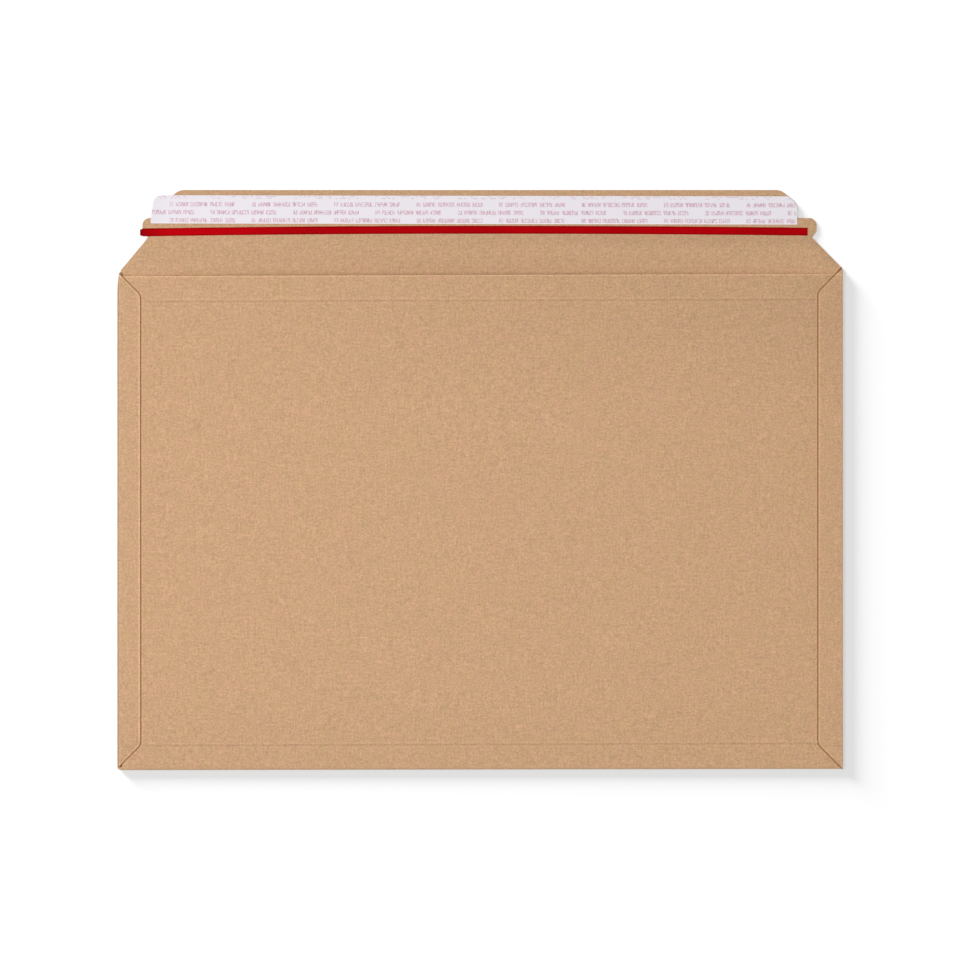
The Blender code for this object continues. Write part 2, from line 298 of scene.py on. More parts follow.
def add_patch(sheet, rows):
    grid = [[sheet.verts.new(point) for point in row] for row in rows]
    for low, high in zip(grid, grid[1:]):
        for corner in range(len(low) - 1):
            sheet.faces.new((low[corner], low[corner + 1], high[corner + 1], high[corner]))


def add_shell(sheet, lower, upper):
    """Closed skin round a lower and an upper grid of points."""
    add_patch(sheet, lower)
    add_patch(sheet, upper)
    for end in (0, -1):
        add_patch(sheet, [lower[end], upper[end]])
        add_patch(sheet, [[row[end] for row in lower], [row[end] for row in upper]])
    bmesh.ops.remove_doubles(sheet, verts=sheet.verts, dist=MERGE)
    bmesh.ops.recalc_face_normals(sheet, faces=sheet.faces)


def back_heights(x):
    return close_ended(foot_y(x), SCORE_Y - WEB_HALF, round(SCORE_Y / GRID))


def add_back_panel(sheet):
    columns = [-SIDE_FOLD_X, *panel_columns(), SIDE_FOLD_X]
    add_patch(sheet, [[Vector((x, y, BOARD / 2)) for y in back_heights(x)] for x in columns])


# Ends of the bottom fold past the side folds' score lines: how far each column's nose is cut back
FOOT_ENDS = (
    (179.7 * MM, 0.0),
    (180.1 * MM, 0.05 * MM),
    (180.4 * MM, 0.22 * MM),
    (180.7 * MM, 0.42 * MM),
    (180.95 * MM, 0.60 * MM),
)


def foot_fold_point(x, step, cut=0.0):
    turn = (math.pi - foot_slope(x)) * step / FOLD_STEPS
    y = foot_y(x) - (FOOT_FOLD_RADIUS - cut) * math.sin(turn)
    z = BOARD / 2 + FOOT_FOLD_RADIUS * (1.0 - math.cos(turn))
    return Vector((x, y, z))


def add_foot_fold(sheet):
    ends = [(-x, cut) for x, cut in reversed(FOOT_ENDS)] + [(-SIDE_FOLD_X, 0.0)]
    ends += [(x, 0.0) for x in panel_columns()]
    ends += [(SIDE_FOLD_X, 0.0), *FOOT_ENDS]
    steps = range(FOLD_STEPS + 1)
    add_patch(sheet, [[foot_fold_point(x, step, cut) for x, cut in ends] for step in steps])


def front_point(x, row):
    """Point of the front panel: the arch also draws its upper part back a little."""
    height, offset, skew_share = row
    dip = crease_dip(x, offset) if offset is not None else 0.0
    shift = between(foot_y(x) - FOOT_FOLD_Y, SKEW * x, skew_share)
    drawn_back = ARCH_DRAW * bow(x) * height / MOUTH_Y
    return Vector((x, height + shift - drawn_back, front_z(x, height) - dip))


def add_front_panel(sheet):
    columns = panel_columns()
    rows = [[foot_fold_point(x, FOLD_STEPS) for x in columns]]
    rows += [[front_point(x, row) for x in columns] for row in front_rows()]
    add_patch(sheet, rows)


def mitre_reach(inset, flap_width):
    """How far a mitred end has come in along the flap, at an inset from the outer edge."""
    straight_until = flap_width - MITRE_CORNER * (1.0 - math.sqrt(0.5))
    if inset <= straight_until:
        return inset
    across = inset - (flap_width - MITRE_CORNER)
    foot = flap_width + MITRE_CORNER * math.tan(math.pi / 8)
    return foot - math.sqrt(max(MITRE_CORNER ** 2 - across ** 2, 0.0))


def side_stations(side):
    """Stations across a side flap as (turn share, inset): round the fold, then in to the seam."""
    outer_radius = SIDE_FOLD_RADIUS + BOARD / 2
    fold = []
    for step in range(FOLD_STEPS + 1):
        share = step / FOLD_STEPS
        inset = outer_radius * (1.0 - math.sin(math.pi * share)) if share > 0.5 else 0.0
        fold.append((share, inset))
    width = SIDE_FLAP_WIDTH[side]
    corner = [width - MITRE_CORNER * (1.0 - math.cos(math.radians(turn))) for turn in MITRE_TURNS]
    edge = [width - row for row in reversed(EDGE_ROWS[:-1])]
    corner = [inset for inset in corner if inset < edge[0] - 0.05 * MM]
    flat = spaced(outer_radius, corner[0], 4)[1:-1] + corner + edge
    return fold + [(1.0, inset) for inset in flat]


def side_span(side, share, inset):
    """Lower and upper end of a side flap's board at a station."""
    if share >= 0.5:
        reach = mitre_reach(inset, SIDE_FLAP_WIDTH[side])
        high = min(MITRE_HEAD_Y[side] - reach, FOLD_END_Y[side])
        return MITRE_FOOT_Y[side] + reach, high
    low = between(foot_y(side * SIDE_FOLD_X), MITRE_FOOT_Y[side], 2 * share)
    return low, between(SCORE_Y - WEB_HALF, FOLD_END_Y[side], math.sin(math.pi * share))


def pinch(side, y):
    if side > 0:
        return 0.0
    return PINCH * max(0.0, (y - PINCH_FROM_Y) / PINCH_RUN) ** 1.5


def side_point(side, y, share, inset):
    slope = margin_slope(y)
    turn = (math.pi - slope) * share
    x = SIDE_FOLD_X + (SIDE_FOLD_RADIUS - pinch(side, y)) * math.sin(turn)
    z = BOARD / 2 + SIDE_FOLD_RADIUS * (1.0 - math.cos(turn))
    if share == 1.0:
        run = inset - (SIDE_FOLD_RADIUS + BOARD / 2)
        x -= run * math.cos(slope)
        z += run * math.sin(slope)
    return Vector((side * x, y, z))


def add_side_flap(sheet, side):
    stations = []
    for share, inset in side_stations(side):
        low, high = side_span(side, share, inset)
        heights = close_ended(low, high, round(SCORE_Y / GRID))
        stations.append([side_point(side, y, share, inset) for y in heights])
    add_patch(sheet, stations)


# From sheet to board

def rounded_outline(corners):
    """Outline through (x, y, corner radius) triples, each corner rounded by its radius."""
    outline = []
    for index, (x, y, radius) in enumerate(corners):
        corner = Vector((x, y))
        if radius == 0.0:
            outline.append(corner)
            continue
        before = (Vector(corners[index - 1][:2]) - corner).normalized()
        after = (Vector(corners[(index + 1) % len(corners)][:2]) - corner).normalized()
        half = before.angle(after) / 2
        centre = corner + (before + after).normalized() * (radius / math.sin(half))
        start = corner + before * (radius / math.tan(half)) - centre
        end = corner + after * (radius / math.tan(half)) - centre
        arms = [start.slerp(end, share).normalized() for share in spaced(0.0, 1.0, CORNER_STEPS)]
        outline += [centre + arm * radius for arm in arms]
    return outline


def dense_outline(outline, step):
    """The outline with points at most a step apart."""
    points = []
    for index, point in enumerate(outline):
        after = outline[(index + 1) % len(outline)]
        count = max(1, math.ceil((after - point).length / step))
        points += [point.lerp(after, share / count) for share in range(count)]
    return points


def cut_grid(sheet, low, high, step):
    """Cut a flat sheet along evenly spaced lines in x and y."""
    for axis in (0, 1):
        normal = Vector((0.0, 0.0, 0.0))
        normal[axis] = 1.0
        count = max(1, round((high[axis] - low[axis]) / step))
        for line in spaced(low[axis], high[axis], count)[1:-1]:
            geometry = [*sheet.verts, *sheet.edges, *sheet.faces]
            bmesh.ops.bisect_plane(
                sheet, geom=geometry, dist=CUT_TOLERANCE, plane_co=normal * line, plane_no=normal
            )


def flat_sheet(outline, step, rings, height):
    """Sheet of an outline at a height, with rings along its edge and a grid inside."""
    sheet = bmesh.new()
    face = sheet.faces.new([sheet.verts.new((point.x, point.y, height)) for point in outline])
    if face.normal.z < 0:
        face.normal_flip()
    inner = [face]
    for ring in rings:
        bmesh.ops.inset_region(sheet, faces=inner, thickness=ring, use_even_offset=True)
    low = Vector((min(p.x for p in outline), min(p.y for p in outline)))
    high = Vector((max(p.x for p in outline), max(p.y for p in outline)))
    cut_grid(sheet, low, high, step)
    return sheet


def at_web(point):
    """Whether a point lies where the board goes on into the hinge web."""
    return abs(point.y - SCORE_Y) < WEB_HALF + 0.02 * MM and point.z < BOARD


def edge_tree(sheet):
    """Points along the cut edges of a sheet, without the edge where the board goes on."""
    points = []
    for edge in sheet.edges:
        if not edge.is_boundary:
            continue
        first, last = (vert.co for vert in edge.verts)
        if at_web(first) and at_web(last):
            continue
        count = max(1, math.ceil((last - first).length / EDGE_POINT_STEP))
        points += [first.lerp(last, share / count) for share in range(count + 1)]
    tree = kdtree.KDTree(len(points))
    for index, point in enumerate(points):
        tree.insert(point, index)
    tree.balance()
    return tree


def finish_mesh(name, sheet):
    mesh = bpy.data.meshes.new(name)
    sheet.to_mesh(mesh)
    sheet.free()
    item = bpy.data.objects.new(name, mesh)
    bpy.context.collection.objects.link(item)
    return item


def shade(mesh, sharp_angle):
    mesh.shade_smooth()
    mesh.set_sharp_from_angle(angle=sharp_angle)


def solidified(item):
    """Give a piece the mesh that its modifiers make of it."""
    bpy.context.view_layer.update()
    solid = bpy.data.meshes.new_from_object(item.evaluated_get(bpy.context.evaluated_depsgraph_get()))
    item.modifiers.clear()
    item.vertex_groups.clear()
    item.data = solid
    solid.name = item.name
    shade(solid, BOARD_SHARP_ANGLE)
    return solid


def settle(sheet, shares):
    """Press the side flaps' cut edges down on to the front panel."""
    for vert, share in zip(sheet.verts, shares):
        if abs(vert.co.x) > FLAP_ZONE_X and vert.co.z > FLAP_ZONE_Z:
            vert.co.z -= (1.0 - share) * (1.0 - CRUSH_SHARE) * BOARD / 2


def thicken(name, sheet, materials):
    """Solid board from a sheet: crushed at its cut edges, with the rim as its second material."""
    bmesh.ops.recalc_face_normals(sheet, faces=sheet.faces)
    tree = edge_tree(sheet)
    shares = [min(tree.find(vert.co)[2] / CRUSH_RUN, 1.0) for vert in sheet.verts]
    settle(sheet, shares)
    count = len(sheet.verts)
    item = finish_mesh(name, sheet)
    for material in materials:
        item.data.materials.append(material)
    edge = item.data.attributes.new("edge", "FLOAT", "POINT")
    edge.data.foreach_set("value", [1.0 - share for share in shares])
    group = item.vertex_groups.new(name="board")
    for index, share in enumerate(shares):
        group.add([index], between(CRUSH_SHARE, 1.0, math.sin(share * math.pi / 2)), "REPLACE")
    thick = item.modifiers.new("board", "SOLIDIFY")
    thick.thickness = BOARD
    thick.offset = 0.0
    thick.use_even_offset = True
    thick.vertex_group = "board"
    thick.material_offset_rim = 1
    solid = solidified(item)
    through = solid.attributes.new("through", "FLOAT", "POINT")
    through.data.foreach_set("value", [float(index >= count) for index in range(len(solid.vertices))])
    return item


def place(item):
    """Move a piece drawn in the blank's own measure into the frame."""
    for vert in item.data.vertices:
        vert.co.y = sheet_y(vert.co.y)
    return item


def build_body(materials):
    sheet = bmesh.new()
    add_back_panel(sheet)
    add_foot_fold(sheet)
    add_front_panel(sheet)
    for side in (-1, 1):
        add_side_flap(sheet, side)
    bmesh.ops.remove_doubles(sheet, verts=sheet.verts, dist=MERGE)
    return place(thicken("envelope_board", sheet, materials))


def flap_side(side):
    """One side of the flap's outline, from the notch out round the tear tab and up to the lip."""
    corners = [
        (NOTCH_X, NOTCH_Y, SMALL_CORNER / 2),
        (TAB_X[side], TAB_LOW_Y, TAB_LOW_CORNER),
        (TAB_X[side], TAB_TOP_Y, TAB_CORNER),
        (LIP_X, TAB_TOP_Y, SMALL_CORNER),
        (LIP_X, LIP_SIDE_Y, LIP_SIDE_CURVE),
        (LIP_TOP_X, DEPTH, LIP_TOP_CURVE),
    ]
    return [(side * x, y, radius) for x, y, radius in corners]


def flap_outline():
    root = SCORE_Y + WEB_HALF
    left, right = web_ends(root)
    corners = [(right, root, 0.0), *flap_side(1), *flap_side(-1)[::-1], (left, root, 0.0)]
    return rounded_outline(corners)


def build_flap(materials):
    outline = dense_outline(flap_outline(), OUTLINE_STEP)
    rings = [after - before for before, after in zip(EDGE_ROWS, EDGE_ROWS[1:])]
    sheet = flat_sheet(outline, GRID, rings, BOARD / 2)
    return place(thicken("closure_board", sheet, materials))


# Hinge web

def web_ends(y):
    """Left and right end of the blank across the score, where the flap's slants start."""
    left_slope = (NOTCH_X + ROOT_LEFT_X) / (NOTCH_Y - SCORE_Y)
    right_slope = (ROOT_RIGHT_X - NOTCH_X) / (NOTCH_Y - RIGHT_SLANT_Y)
    left = ROOT_LEFT_X - left_slope * (y - SCORE_Y)
    return left, ROOT_RIGHT_X - right_slope * max(y - RIGHT_SLANT_Y, 0.0)


def score_dip(offset):
    share = min(abs(offset) / SCORE_HALF_WIDTH, 1.0)
    return SCORE_DEPTH * (0.5 + 0.5 * math.cos(math.pi * share))


def web_row(offset, height):
    """Points across the blank at an offset from the score and at a height."""
    y = SCORE_Y + offset
    return [Vector((x, y, height)) for x in spaced(*web_ends(y), WEB_COLUMNS)]


def build_web(material):
    """Strip of board across the score, where the real board bends when the closure flap turns."""
    sheet = bmesh.new()
    offsets = spaced(-WEB_HALF, WEB_HALF, WEB_STEPS)
    lower = [web_row(offset, 0.0) for offset in offsets]
    upper = [web_row(offset, BOARD - score_dip(offset)) for offset in offsets]
    add_shell(sheet, lower, upper)
    item = place(finish_mesh("hinge_web", sheet))
    item.data.materials.append(material)
    shade(item.data, BOARD_SHARP_ANGLE)
    return item


# Strips on the closure flap

def tear_line(x):
    side = -1 if x < 0 else 1
    reach = abs(TEAR_X[0]) if x < 0 else TEAR_X[1]
    return TEAR_Y - TEAR_SAG[side] * (x / reach) ** 2


def tear_half_width(x):
    """Half the tape's width at a place, uneven and rounded off at its left end."""
    from_end = min((x - TEAR_X[0]) / TEAR_END_RUN, 1.0)
    narrow = math.sqrt(max(1.0 - (1.0 - from_end) ** 2, 0.15))
    uneven = 1.0 + 0.02 * warp(x, 0.0, 12 * MM, 8.0)
    return TEAR_WIDTH / 2 * (0.55 + 0.45 * narrow) * uneven


def tear_rows(x):
    """Points across the tape at a place: along its underside, and over its rounded top."""
    lower = []
    upper = []
    for share, lift in TEAR_PROFILE:
        y = tear_line(x) + tear_half_width(x) * share
        ripple = 0.1 * warp(x, y, 6 * MM, 5.0) * (1.0 - share ** 2)
        lower.append(Vector((x, y, TEAR_BASE)))
        upper.append(Vector((x, y, TEAR_BASE + TEAR_THICK * (0.15 + 0.75 * lift + ripple))))
    return lower, upper


def build_tear_strip(material):
    """Tear tape: thin film over a bead of hot melt."""
    sheet = bmesh.new()
    rows = [tear_rows(x) for x in spaced(*TEAR_X, TEAR_STEPS)]
    add_shell(sheet, [lower for lower, _ in rows], [upper for _, upper in rows])
    item = place(finish_mesh("tear_tape", sheet))
    item.data.materials.append(material)
    shade(item.data, TAPE_SHARP_ANGLE)
    return item


def liner_lift(x, y):
    """Relief of the liner: how far a point lies above or below its flat sheet."""
    curl = max(0.0, CURL_FROM_X - x) / CURL_RUN
    ripple = LINER_RIPPLE * (1.0 + warp(x, y, 9 * MM, 1.7))
    low, high = LINER_Y
    level = y - LINER_SKEW * x
    pressed = 1.0 - smooth(low, low + RIM_RUN, level) + smooth(high - RIM_RUN, high, level)
    return CURL_HEIGHT * curl ** 1.6 + ripple - RIM_PRESS * pressed


def slant_x(y):
    """Where the slanted cut at the lip's right corner is at a height."""
    return between(LIP_X, LIP_TOP_X, (y - LIP_SIDE_Y) / (DEPTH - LIP_SIDE_Y))


def liner_outline():
    low, high = LINER_Y
    right = LIP_X - LINER_INSET
    corners = [
        (LINER_LEFT_X[0], low, SMALL_CORNER),
        (right, low, SMALL_CORNER / 3),
        (right, LIP_SIDE_Y, LIP_SIDE_CURVE),
        (slant_x(high) - LINER_INSET, high, SMALL_CORNER),
        (LINER_LEFT_X[1], high, LINER_CORNER),
    ]
    return [point + Vector((0.0, LINER_SKEW * point.x)) for point in rounded_outline(corners)]


def build_liner(material):
    outline = dense_outline(liner_outline(), LINER_STEP)
    sheet = flat_sheet(outline, LINER_GRID, (LINER_RING,), LINER_BASE + LINER_THICK / 2)
    bmesh.ops.recalc_face_normals(sheet, faces=sheet.faces)
    for vert in sheet.verts:
        vert.co.z += liner_lift(vert.co.x, vert.co.y)
    item = finish_mesh("liner_paper", sheet)
    item.data.materials.append(material)
    thick = item.modifiers.new("paper", "SOLIDIFY")
    thick.thickness = LINER_PAPER
    thick.offset = 0.0
    solidified(item)
    return place(item)


# Print on the liner: rows of small pale marks in word-long groups, with no lettering.
# Each row is the height of its middle and its shift as a share of the period.

PRINT_ROWS = ((286.45 * MM, 0.5), (282.5 * MM, 0.0), (278.5 * MM, 0.5), (274.5 * MM, 0.0))
PRINT_PERIOD = 41.2 * MM
PRINT_GROUP = 32.9 * MM
PRINT_START = -155.15 * MM
MARK_PITCH = 1.08 * MM
MARK_WIDTH = 0.72 * MM
MARK_HEIGHT = 1.75 * MM
STROKE = 0.26 * MM
STROKE_STEPS = 4
INK_PROUD = 0.045 * MM
PRINT_MARGIN = 0.25 * MM
PRINT_SEED = 11
STROKES_PER_MARK = 3
WORDS = (2, 6, 8, 6, 5)
MARK_STROKES = (
    ((0, 0), (0, 1)),
    ((1, 0), (1, 1)),
    ((0, 0), (1, 0)),
    ((0, 1), (1, 1)),
    ((0, 0.5), (1, 0.5)),
    ((0, 0), (1, 1)),
    ((0, 1), (1, 0)),
)


def mark_places(start):
    """Left ends of the marks in one group, word by word."""
    places = []
    x = start
    for word in WORDS:
        places += [x + MARK_PITCH * number for number in range(word)]
        x += MARK_PITCH * (word + 1)
    squeeze = PRINT_GROUP / (x - MARK_PITCH - start)
    return [start + (place_x - start) * squeeze for place_x in places]


def print_marks():
    """Lower left corner of every mark on the liner, in groups that repeat along each row."""
    marks = []
    for middle, shift in PRINT_ROWS:
        start = PRINT_START + (shift - 1.0) * PRINT_PERIOD
        while start < LIP_X:
            marks += [(x, middle - MARK_HEIGHT / 2) for x in mark_places(start)]
            start += PRINT_PERIOD
    return marks


def on_liner(x, y):
    """Whether a point, before the liner's tilt, lies on the liner and clear of its edge."""
    low, high = LINER_Y
    if not low + PRINT_MARGIN < y < high - PRINT_MARGIN / 2:
        return False
    right = min(LIP_X, slant_x(y)) - LINER_INSET - PRINT_MARGIN
    left = LINER_LEFT_X[0] + PRINT_MARGIN
    corner = LINER_CORNER - (high - y)
    if corner > 0.0:
        left += LINER_CORNER - math.sqrt(max(LINER_CORNER ** 2 - corner ** 2, 0.0)) + PRINT_MARGIN
    return left < x < right


def print_point(x, y):
    """Point of the print on the liner's upper face."""
    y += LINER_SKEW * x
    paper = LINER_BASE + LINER_THICK / 2 + LINER_PAPER / 2
    return Vector((x, y, paper + liner_lift(x, y) + INK_PROUD))


def add_stroke(sheet, start, end):
    """One stroke of a mark, in short steps that follow the paper."""
    along = (end - start).normalized() * STROKE / 2
    across = Vector((-along.y, along.x))
    start, end = start - along, end + along
    corners = (start - across, end - across, end + across, start + across)
    if not all(on_liner(*corner) for corner in corners):
        return
    middles = [start.lerp(end, share) for share in spaced(0.0, 1.0, STROKE_STEPS)]
    below = [sheet.verts.new(print_point(*(middle - across))) for middle in middles]
    above = [sheet.verts.new(print_point(*(middle + across))) for middle in middles]
    for corners in zip(below, below[1:], above[1:], above):
        sheet.faces.new(corners)


def build_print(material):
    draws = random.Random(PRINT_SEED)
    sheet = bmesh.new()
    size = Vector((MARK_WIDTH, MARK_HEIGHT))
    for x, y in print_marks():
        for start, end in draws.sample(MARK_STROKES, STROKES_PER_MARK):
            corner = Vector((x, y))
            add_stroke(sheet, corner + size * Vector(start), corner + size * Vector(end))
    item = place(finish_mesh("liner_print", sheet))
    item.data.materials.append(material)
    return item


# Materials

class Shader:
    """Short hand for building one material's nodes."""

    def __init__(self, name):
        self.material = bpy.data.materials.new(name)
        self.material.use_nodes = True
        self.tree = self.material.node_tree
        self.surface = self.tree.nodes["Principled BSDF"]
        self.place = self.add("ShaderNodeTexCoord").outputs["Object"]

    def add(self, kind):
        return self.tree.nodes.new(kind)

    def feed(self, socket, value):
        if isinstance(value, bpy.types.NodeSocket):
            self.tree.links.new(value, socket)
        elif isinstance(value, (tuple, list)) and len(value) == 3 and socket.type == "RGBA":
            socket.default_value = (*value, 1.0)
        else:
            socket.default_value = value

    def maths(self, operation, *values):
        node = self.add("ShaderNodeMath")
        node.operation = operation
        for socket, value in zip(node.inputs, values):
            self.feed(socket, value)
        return node.outputs[0]

    def stretch(self, scale):
        node = self.add("ShaderNodeVectorMath")
        node.operation = "MULTIPLY"
        self.feed(node.inputs[0], self.place)
        node.inputs[1].default_value = scale
        return node.outputs[0]

    def noise(self, scale, detail=2.0, roughness=0.5, vector=None):
        node = self.add("ShaderNodeTexNoise")
        self.feed(node.inputs["Vector"], vector if vector is not None else self.place)
        node.inputs["Scale"].default_value = scale
        node.inputs["Detail"].default_value = detail
        node.inputs["Roughness"].default_value = roughness
        return node.outputs["Fac"]

    def remap(self, value, low, high, new_low, new_high, kind="LINEAR"):
        node = self.add("ShaderNodeMapRange")
        node.interpolation_type = kind
        self.feed(node.inputs["Value"], value)
        node.inputs["From Min"].default_value = low
        node.inputs["From Max"].default_value = high
        node.inputs["To Min"].default_value = new_low
        node.inputs["To Max"].default_value = new_high
        return node.outputs["Result"]

    def mix(self, share, first, second):
        node = self.add("ShaderNodeMix")
        node.data_type = "RGBA"
        self.feed(node.inputs["Factor"], share)
        self.feed(node.inputs[6], first)
        self.feed(node.inputs[7], second)
        return node.outputs[2]

    def pulse(self, value, middle, half):
        """One in the middle of a band, fading to nothing half a width away on both sides."""
        away = self.maths("ABSOLUTE", self.maths("SUBTRACT", value, middle))
        return self.remap(away, 0.0, half, 1.0, 0.0, "SMOOTHSTEP")

    def tint(self, colour, factor):
        """The colour times a number."""
        node = self.add("ShaderNodeVectorMath")
        node.operation = "SCALE"
        self.feed(node.inputs[0], colour)
        self.feed(node.inputs["Scale"], factor)
        return node.outputs[0]

    def attribute(self, name):
        node = self.add("ShaderNodeAttribute")
        node.attribute_name = name
        return node.outputs["Fac"]

    def axes(self):
        node = self.add("ShaderNodeSeparateXYZ")
        self.feed(node.inputs[0], self.place)
        return node.outputs

    def bump(self, height, distance, strength):
        node = self.add("ShaderNodeBump")
        self.feed(node.inputs["Height"], height)
        node.inputs["Distance"].default_value = distance
        node.inputs["Strength"].default_value = strength
        return node.outputs["Normal"]

    def above(self, levels):
        """One where the place lies above a band of heights, and nothing below it."""
        return self.remap(self.axes()[2], *levels, 0.0, 1.0)

    def finish(self, colour, roughness, normal, specular):
        self.feed(self.surface.inputs["Base Color"], colour)
        self.feed(self.surface.inputs["Roughness"], roughness)
        self.surface.inputs["Specular IOR Level"].default_value = specular
        if normal is not None:
            self.feed(self.surface.inputs["Normal"], normal)
        return self.material


# Kraft paper: its two shades, the sizes of its noises and how far each one changes the tone
KRAFT_PINK = (0.604, 0.358, 0.213)
KRAFT_YELLOW = (0.578, 0.364, 0.197)
CLOUD_SCALE = 190.0
GRAIN_SCALE = 1100.0
GRAIN_TONES = (0.79, 1.21)
FIBRES_ALONG = (1500.0, 190.0, 900.0)
FIBRES_ACROSS = (210.0, 1400.0, 900.0)
FIBRE_TONES = (0.88, 1.12)
SPECK_SCALE = 1150.0
SPECK_TONE = 0.80

# Heights that part the board's layers: inside the back panel, and between it and the front panel
IN_BACK_SEAM = (0.5 * MM, 0.7 * MM)
IN_BACK_MOUTH = (0.6 * MM, 0.8 * MM)
OVER_BACK = (1.4 * MM, 1.6 * MM)

# Places from left to right over which the seams' painted shade and highlight, and the panel's painted
# shade, change
SEAM_SPAN = (-170 * MM, 170 * MM)
PANEL_SPAN = (-180 * MM, 180 * MM)


def kraft_paper(shader):
    """Colour and fine relief of kraft liner: soft mottling, grain, stray fibres and specks."""
    clouds = shader.remap(shader.noise(CLOUD_SCALE, 3.0, 0.6), 0.35, 0.65, 0.0, 1.0)
    colour = shader.mix(clouds, KRAFT_PINK, KRAFT_YELLOW)
    grain = shader.noise(GRAIN_SCALE, 2.0, 0.65)
    along = shader.noise(1.0, 2.0, 0.55, shader.stretch(FIBRES_ALONG))
    across = shader.noise(1.0, 2.0, 0.55, shader.stretch(FIBRES_ACROSS))
    fibres = shader.maths("ADD", along, across)
    tone = shader.remap(grain, 0.25, 0.75, *GRAIN_TONES)
    tone = shader.maths("MULTIPLY", tone, shader.remap(fibres, 0.6, 1.4, *FIBRE_TONES))
    speck = shader.remap(shader.noise(SPECK_SCALE, 1.0, 0.4), 0.74, 0.82, 1.0, SPECK_TONE)
    tone = shader.maths("MULTIPLY", tone, speck)
    relief = shader.maths("ADD", shader.maths("MULTIPLY", fibres, 0.5), grain)
    return shader.tint(colour, tone), shader.bump(relief, 0.05 * MM, 0.5)


def seam_distance(shader, side, x, y):
    """Distance in plan from a side flap's outline, below nothing on the flap itself."""
    inset = shader.maths("MULTIPLY_ADD", x, -side, WIDTH / 2)
    beyond = shader.maths("SUBTRACT", inset, SIDE_FLAP_WIDTH[side])
    foot = shader.maths("SUBTRACT", shader.maths("ADD", inset, sheet_y(MITRE_FOOT_Y[side])), y)
    head = shader.maths("SUBTRACT", shader.maths("ADD", inset, y), sheet_y(MITRE_HEAD_Y[side]))
    below = shader.maths("MULTIPLY", foot, math.sqrt(0.5))
    above = shader.maths("MULTIPLY", head, math.sqrt(0.5))
    cut = shader.maths("SMOOTH_MAX", beyond, below, MITRE_CORNER / 2)
    return shader.maths("SMOOTH_MAX", cut, above, MITRE_CORNER / 2)


# Painted shade in the crevice along a seam: colour, place and reach, and its strength at the left and
# right seam
CREVICE_SHADE = (0.26, 0.115, 0.042)
CREVICE_OFFSET = 0.12 * MM
CREVICE_REACH = 0.42 * MM
CREVICE_STRENGTH = (0.31, 0.80)

# The painted crevice shade opens wider at the upper corners, as a painted shadow under the mitred ends;
# the corners' heights differ from left to right
OPENING_Y = (246.3 * MM, 248.0 * MM)
OPENING_RUN = 2.6 * MM
OPENING_REACH = 0.45 * MM
OPENING_STRENGTH = 0.15

# Lighter rims beside a seam, partly worn board and partly painted highlight: on the flap, fainter past
# its straight part, and on the panel
FLAP_RIM = (-0.6 * MM, 0.5 * MM)
FLAP_RIM_STRENGTH = (0.52, 0.14)
STRAIGHT_MIDDLE_Y = 125 * MM
STRAIGHT_END = (108 * MM, 116 * MM)
PAST_STRAIGHT = 0.4
PANEL_RIM = (0.95 * MM, 0.45 * MM)
PANEL_RIM_STRENGTH = 0.13


def seams(shader):
    """Side flaps' cut edges: share of the painted crevice shade, and tone of the rims lightened by wear
    and by painted highlight.
    """
    x, y, _ = shader.axes()
    left, right = (seam_distance(shader, side, x, y) for side in (-1, 1))
    distance = shader.maths("MINIMUM", left, right)
    over_back = shader.above(IN_BACK_SEAM)

    corner_y = shader.remap(x, *SEAM_SPAN, *(sheet_y(height) for height in OPENING_Y))
    opening = shader.remap(shader.maths("SUBTRACT", y, corner_y), 0.0, OPENING_RUN, 0.0, 1.0)
    reach = shader.maths("MULTIPLY_ADD", opening, OPENING_REACH, CREVICE_REACH)
    away = shader.maths("ABSOLUTE", shader.maths("SUBTRACT", distance, CREVICE_OFFSET))
    line = shader.remap(shader.maths("DIVIDE", away, reach), 0.4, 1.0, 1.0, 0.0, "SMOOTHSTEP")
    strength = shader.remap(x, *SEAM_SPAN, *CREVICE_STRENGTH)
    strength = shader.maths("MULTIPLY_ADD", opening, OPENING_STRENGTH, strength)
    # Painted shade along each seam's crevice, stronger on the right seam and at the upper corners
    painted_shade = shader.maths("MULTIPLY", shader.maths("MULTIPLY", line, strength), over_back)

    # Rims beside the seams, lightened partly by wear and partly by painted highlight, more on the left
    # flap
    from_middle = shader.maths("ABSOLUTE", shader.maths("SUBTRACT", y, sheet_y(STRAIGHT_MIDDLE_Y)))
    straight = shader.remap(from_middle, *STRAIGHT_END, 1.0, PAST_STRAIGHT)
    rim_lightening = shader.maths("MULTIPLY", shader.remap(x, *SEAM_SPAN, *FLAP_RIM_STRENGTH), straight)
    rim = shader.maths("MULTIPLY", shader.pulse(distance, *FLAP_RIM), rim_lightening)
    far_rim = shader.maths("MULTIPLY", shader.pulse(distance, *PANEL_RIM), PANEL_RIM_STRENGTH)
    wear_and_highlight = shader.maths("MULTIPLY", shader.maths("ADD", rim, far_rim), over_back)
    return painted_shade, shader.maths("ADD", wear_and_highlight, 1.0)


# Bands along a pressed crease, painted shade in it and painted highlights beside it: offset from its
# middle, half width and change of tone
CREASE_BANDS = (
    (0.0, 0.75 * MM, -0.12),
    (1.05 * MM, 0.6 * MM, 0.07),
    (-1.05 * MM, 0.6 * MM, 0.04),
)


